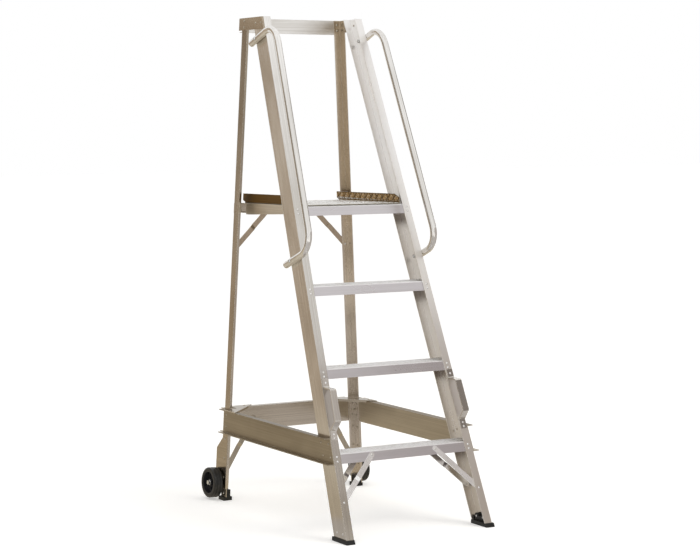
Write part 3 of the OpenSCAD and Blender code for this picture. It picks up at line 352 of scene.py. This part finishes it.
# The first word found in a node's name decides its finish
byName = [
    ("base_rivets", "setAluminiumRivetsDull"), ("bracket_rivets", "setAluminiumRivetsDull"),
    ("top_rivets", "setAluminiumRivetsDull"), ("platform_rivets", "setAluminiumRivetsDull"),
    ("rivets", "setAluminiumRivets"),
    ("handrail_bolts", "zincPlatedSteel"), ("handrail_nuts", "zincPlatedSteel"), ("axle", "zincPlatedSteel"),
    ("stile_left", "millAluminiumStileLeft"), ("stile_right", "millAluminiumStileRight"),
    ("rear_leg_left", "millAluminiumLegLeft"), ("rear_leg_right", "millAluminiumLegRight"),
    ("base_rail_left", "millAluminiumRailLeft"), ("base_rail_right", "millAluminiumRailRight"),
    ("base_rail_rear", "millAluminiumAcross"), ("rear_channel", "millAluminiumAcross"),
    ("gusset", "millAluminiumAcross"), ("guard", "millAluminiumGuard"),
    ("side_rail", "millAluminiumDeckRail"),
    ("bracket", "millAluminiumPlate"), ("top_plate", "millAluminiumPlate"),
    ("tread_brace", "flatAluminiumTreadBrace"), ("base_brace", "flatAluminiumBaseBrace"),
    ("platform_brace", "flatAluminiumDeckBrace"),
    ("lift_handle_left", "flatAluminiumHandleLeft"), ("lift_handle_right", "flatAluminiumHandleRight"),
    ("handrail_left", "bentAluminiumTubeLeft"), ("handrail_right", "bentAluminiumTubeRight"),
    ("deck", "chequerAluminiumPlate"), ("front_step", "ribbedAluminiumFrontStep"),
    ("tread_lower", "ribbedAluminiumLower"), ("tread_middle", "ribbedAluminiumMiddle"),
    ("tread_upper", "ribbedAluminiumUpper"),
    ("foot", "mouldedRubberFeet"), ("tyre", "mouldedRubberTyres"),
    ("hub", "mouldedNylonHubs"), ("bush", "mouldedNylonHubs"),
]
for nodeName, part in nodes.items():
    finish = next(f for word, f in byName if word in nodeName)
    part.data.materials.clear()
    part.data.materials.append(finishes[finish])
print("stage: finishes on every node")


# Chequer plate: groups of five short raised bars, each group turned a quarter from the next.
# A ring is a place along the bar, with its share of the bar's full width and height.
# flat: the share of a ring's width that is its top. least: the shortest piece of a bar that is kept.
# spare: the cells tried past the edge.
chequer = {
    "cell": 28 * mm, "count": 5, "turn": 45, "length": 23 * mm, "width": 3.4 * mm, "height": 1.0 * mm,
    "flat": 0.5, "sink": 0.3 * mm, "least": 6 * mm, "spare": 2,
    "rings": [(0, 0.35, 0.25), (0.14, 0.8, 0.85), (0.5, 1, 1), (0.86, 0.8, 0.85), (1, 0.35, 0.25)],
    "thickness": 3 * mm, "side": 36 * mm, "bend": 7.5 * mm, "margin": 2 * mm,
    "cutLength": 34 * mm, "cutHeight": 14 * mm,
}


# part of a segment that lies inside a convex outline, given anticlockwise
def clipped(start, end, outline):
    low, high, parallel = 0.0, 1.0, 1e-12
    step = end - start
    for i, a in enumerate(outline):
        b = outline[(i + 1) % len(outline)]
        inward = Vector((a.y - b.y, b.x - a.x))
        speed, inset = inward.dot(step), inward.dot(start - a)
        if abs(speed) < parallel:
            if inset < 0:
                return None
        elif speed > 0:
            low = max(low, -inset / speed)
        else:
            high = min(high, -inset / speed)
    return (start + step * low, start + step * high) if low < high else None


def addBar(mesh, start, end, toFrame):
    step = end - start
    across = Vector((-step.y, step.x)).normalized()
    flat, sunk = chequer["flat"], -chequer["sink"]
    rings = []
    for t, share, rise in chequer["rings"]:
        middle, half = start + step * t, chequer["width"] / 2 * share
        top = chequer["height"] * rise
        row = [(-1, sunk), (-flat, top), (flat, top), (1, sunk)]
        rings.append([mesh.verts.new(toFrame(middle + across * half * k, z)) for k, z in row])
    for a, b in zip(rings, rings[1:]):
        for i in range(len(a)):
            j = (i + 1) % len(a)
            mesh.faces.new((a[i], b[i], b[j], a[j]))
    mesh.faces.new(rings[0])
    mesh.faces.new(reversed(rings[-1]))


def fillChequer(mesh, outline, toFrame):
    cell, count, half = chequer["cell"], chequer["count"], chequer["length"] / 2
    wide = max(p.x for p in outline) - min(p.x for p in outline)
    deep = max(p.y for p in outline) - min(p.y for p in outline)
    turn = Matrix.Rotation(math.radians(chequer["turn"]), 2)
    reach = int((wide + deep) / cell) + chequer["spare"]
    for i in range(-reach, reach):
        for j in range(-reach, reach):
            for k in range(count):
                shift = (k - (count - 1) / 2) * cell / count
                ends = [(-half, shift), (half, shift)] if (i + j) % 2 else [(shift, -half), (shift, half)]
                start, end = (turn @ Vector((i * cell + u, j * cell + v)) for u, v in ends)
                kept = clipped(start, end, outline)
                if kept and (kept[1] - kept[0]).length > chequer["least"]:
                    addBar(mesh, kept[0], kept[1], toFrame)


# bars on the deck, and on the inside of its two sides, whose front upper corners are cut off
def buildChequer():
    low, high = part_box("platform_deck")
    thick, bend, margin, side = (chequer[key] for key in ("thickness", "bend", "margin", "side"))
    length = (high.y - side * math.sin(fall) - low.y) / math.cos(fall)
    origin = Vector((0, low.y, low.z + length * math.sin(fall)))
    deckY = Vector((0, math.cos(fall), -math.sin(fall)))
    deckZ = Vector((0, math.sin(fall), math.cos(fall)))
    halfWide, rear, rim = high.x - bend, length - margin, side - margin
    mesh = bmesh.new()
    top = [Vector(p) for p in ((-halfWide, margin), (halfWide, margin), (halfWide, rear), (-halfWide, rear))]
    fillChequer(mesh, top, lambda p, z: origin + Vector((p.x, 0, 0)) + deckY * p.y + deckZ * (thick + z))
    wall = [Vector(p) for p in ((margin, bend), (rear, bend), (rear, rim), (chequer["cutLength"], rim),
                                (margin, rim - chequer["cutHeight"]))]
    for s in (-1, 1):
        def onWall(p, z):
            inner = high.x - thick - p.y * math.tan(splay) - z
            return origin + Vector((s * inner, 0, 0)) + deckY * p.x + deckZ * p.y
        fillChequer(mesh, wall, onWall)
    bmesh.ops.recalc_face_normals(mesh, faces=mesh.faces)
    data = bpy.data.meshes.new("chequerBars")
    mesh.to_mesh(data)
    mesh.free()
    bars = bpy.data.objects.new("chequerBars", data)
    scene.collection.objects.link(bars)
    data.materials.append(finishes["chequerAluminiumBars"])
    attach(bars, "frame")
    print("stage: chequer bars,", len(data.vertices), "points")


buildChequer()


# Plain studio: pale floor, white room, one large soft lamp, and dull cards and mats that only mirroring
# surfaces see. Lengths are in metres
floorLook = {"colour": "#F6F5F3", "halfSide": 30, "glow": 0.28, "rough": 0.9}
room = {"white": "#FFFFFF", "ambient": 0.8, "seen": 1.0}
lamp = {"place": (2.4, -3.4, 4.2), "aim": (0, 0, 0.7), "size": 3.0, "watts": 95, "colour": "#FFFDF8"}
cards = [
    {"name": "cardLeft", "from": (-3.35, -0.60), "to": (-3.50, 2.21), "high": 3.0, "colour": "#9E978C"},
    {"name": "cardLeftRear", "from": (-3.50, 2.21), "to": (-1.70, 3.554), "high": 4.0, "colour": "#B0A08C"},
    {"name": "cardLowRear", "from": (-1.70, 3.554), "to": (-1.26, 3.88), "high": 0.75, "colour": "#B09E86"},
    {"name": "cardFrontRight", "from": (0.45, -1.48), "to": (2.06, -0.48), "high": 1.5, "colour": "#C6C0BD"},
    {"name": "cardRight", "from": (2.06, -0.48), "to": (2.75, 1.20), "high": 2.6, "colour": "#9A948E"},
]
mats = [
    {"name": "frontMat", "low": (-3.6, -2.6), "high": (2.6, 0.0), "lift": 2 * mm, "colour": "#CAC6C3"},
    {"name": "rearMat", "low": (-3.6, 0.0), "high": (2.6, 4.0), "lift": 2 * mm, "colour": "#CCC2B0"},
]


def addPlane(name, corners, material):
    data = bpy.data.meshes.new(name)
    data.from_pydata(corners, [], [(0, 1, 2, 3)])
    plane = bpy.data.objects.new(name, data)
    scene.collection.objects.link(plane)
    data.materials.append(material)
    return plane


# 1 for the rays that see the white background: the camera's, and what metal or clear pieces mirror
def seenDirectly(tree):
    path = addNode(tree, "LightPath").outputs
    first = addNode(tree, "Math", {0: path["Is Camera Ray"], 1: path["Is Glossy Ray"]}, operation="MAXIMUM")
    both = addNode(tree, "Math", {0: first.outputs[0], 1: path["Is Transmission Ray"]}, operation="MAXIMUM")
    return both.outputs[0]


def addCard(card, corners):
    material, tree = newTree(card["name"])
    glow = addNode(tree, "Emission", {"Color": linear(card["colour"])})
    addNode(tree, "OutputMaterial", {"Surface": glow.outputs[0]})
    plane = addPlane(card["name"], corners, material)
    plane.visible_camera = plane.visible_diffuse = plane.visible_shadow = plane.visible_transmission = False


def buildFloor():
    material, tree = newTree("paleFloor")
    glow = addNode(tree, "Math", {0: seenDirectly(tree), 1: floorLook["glow"]}, operation="MULTIPLY")
    shader = addNode(tree, "BsdfPrincipled", {
        "Base Color": linear(floorLook["colour"]), "Roughness": floorLook["rough"],
        "Emission Color": linear(room["white"]), "Emission Strength": glow.outputs[0],
    })
    addNode(tree, "OutputMaterial", {"Surface": shader.outputs[0]})
    s = floorLook["halfSide"]
    addPlane("floor", [(-s, -s, 0), (s, -s, 0), (s, s, 0), (-s, s, 0)], material)


def buildRoom():
    world = bpy.data.worlds.new("whiteRoom")
    scene.world = world
    world.use_nodes = True
    tree = world.node_tree
    tree.nodes.clear()
    strength = addNode(tree, "MapRange", {"Value": seenDirectly(tree), "To Min": room["ambient"],
                                          "To Max": room["seen"]})
    back = addNode(tree, "Background", {"Color": linear(room["white"]), "Strength": strength.outputs[0]})
    addNode(tree, "OutputWorld", {"Surface": back.outputs[0]})


def buildLamp():
    data = bpy.data.lights.new("softLamp", "AREA")
    data.size, data.energy, data.color = lamp["size"], lamp["watts"], linear(lamp["colour"])[:3]
    light = bpy.data.objects.new("softLamp", data)
    scene.collection.objects.link(light)
    light.location = lamp["place"]
    light.rotation_mode = "QUATERNION"
    light.rotation_quaternion = (Vector(lamp["aim"]) - Vector(lamp["place"])).to_track_quat("-Z", "Y")
    light.visible_glossy = False


buildFloor()
buildRoom()
buildLamp()
for card in cards:
    a, b, top = card["from"], card["to"], card["high"]
    addCard(card, [(*a, 0), (*b, 0), (*b, top), (*a, top)])
for mat in mats:
    (x0, y0), (x1, y1), z = mat["low"], mat["high"], mat["lift"]
    addCard(mat, [(x0, y0, z), (x1, y0, z), (x1, y1, z), (x0, y1, z)])
print("stage: studio")

# Camera where the photograph was taken from: metres, degrees, and mm for lens and sensor
shot = {
    "place": (-3.92038, -6.43551, 1.53768), "azimuth": 31.394, "down": 5.116, "roll": 0.321,
    "lens": 105.513, "sensor": 36, "farthest": 200,
}


def buildCamera():
    a, e, r = (math.radians(shot[key]) for key in ("azimuth", "down", "roll"))
    ahead = Vector((math.sin(a) * math.cos(e), math.cos(a) * math.cos(e), -math.sin(e)))
    right = Vector((math.cos(a), -math.sin(a), 0))
    up = right.cross(ahead)
    right, up = right * math.cos(r) + up * math.sin(r), up * math.cos(r) - right * math.sin(r)
    data = bpy.data.cameras.new("photoCamera")
    data.sensor_fit, data.sensor_width, data.lens = "HORIZONTAL", shot["sensor"], shot["lens"]
    data.clip_end = shot["farthest"]
    camera = bpy.data.objects.new("photoCamera", data)
    scene.collection.objects.link(camera)
    turn = Matrix((right, up, -ahead)).transposed()
    camera.matrix_world = Matrix.Translation(Vector(shot["place"])) @ turn.to_4x4()
    scene.camera = camera


buildCamera()
print("stage: camera")
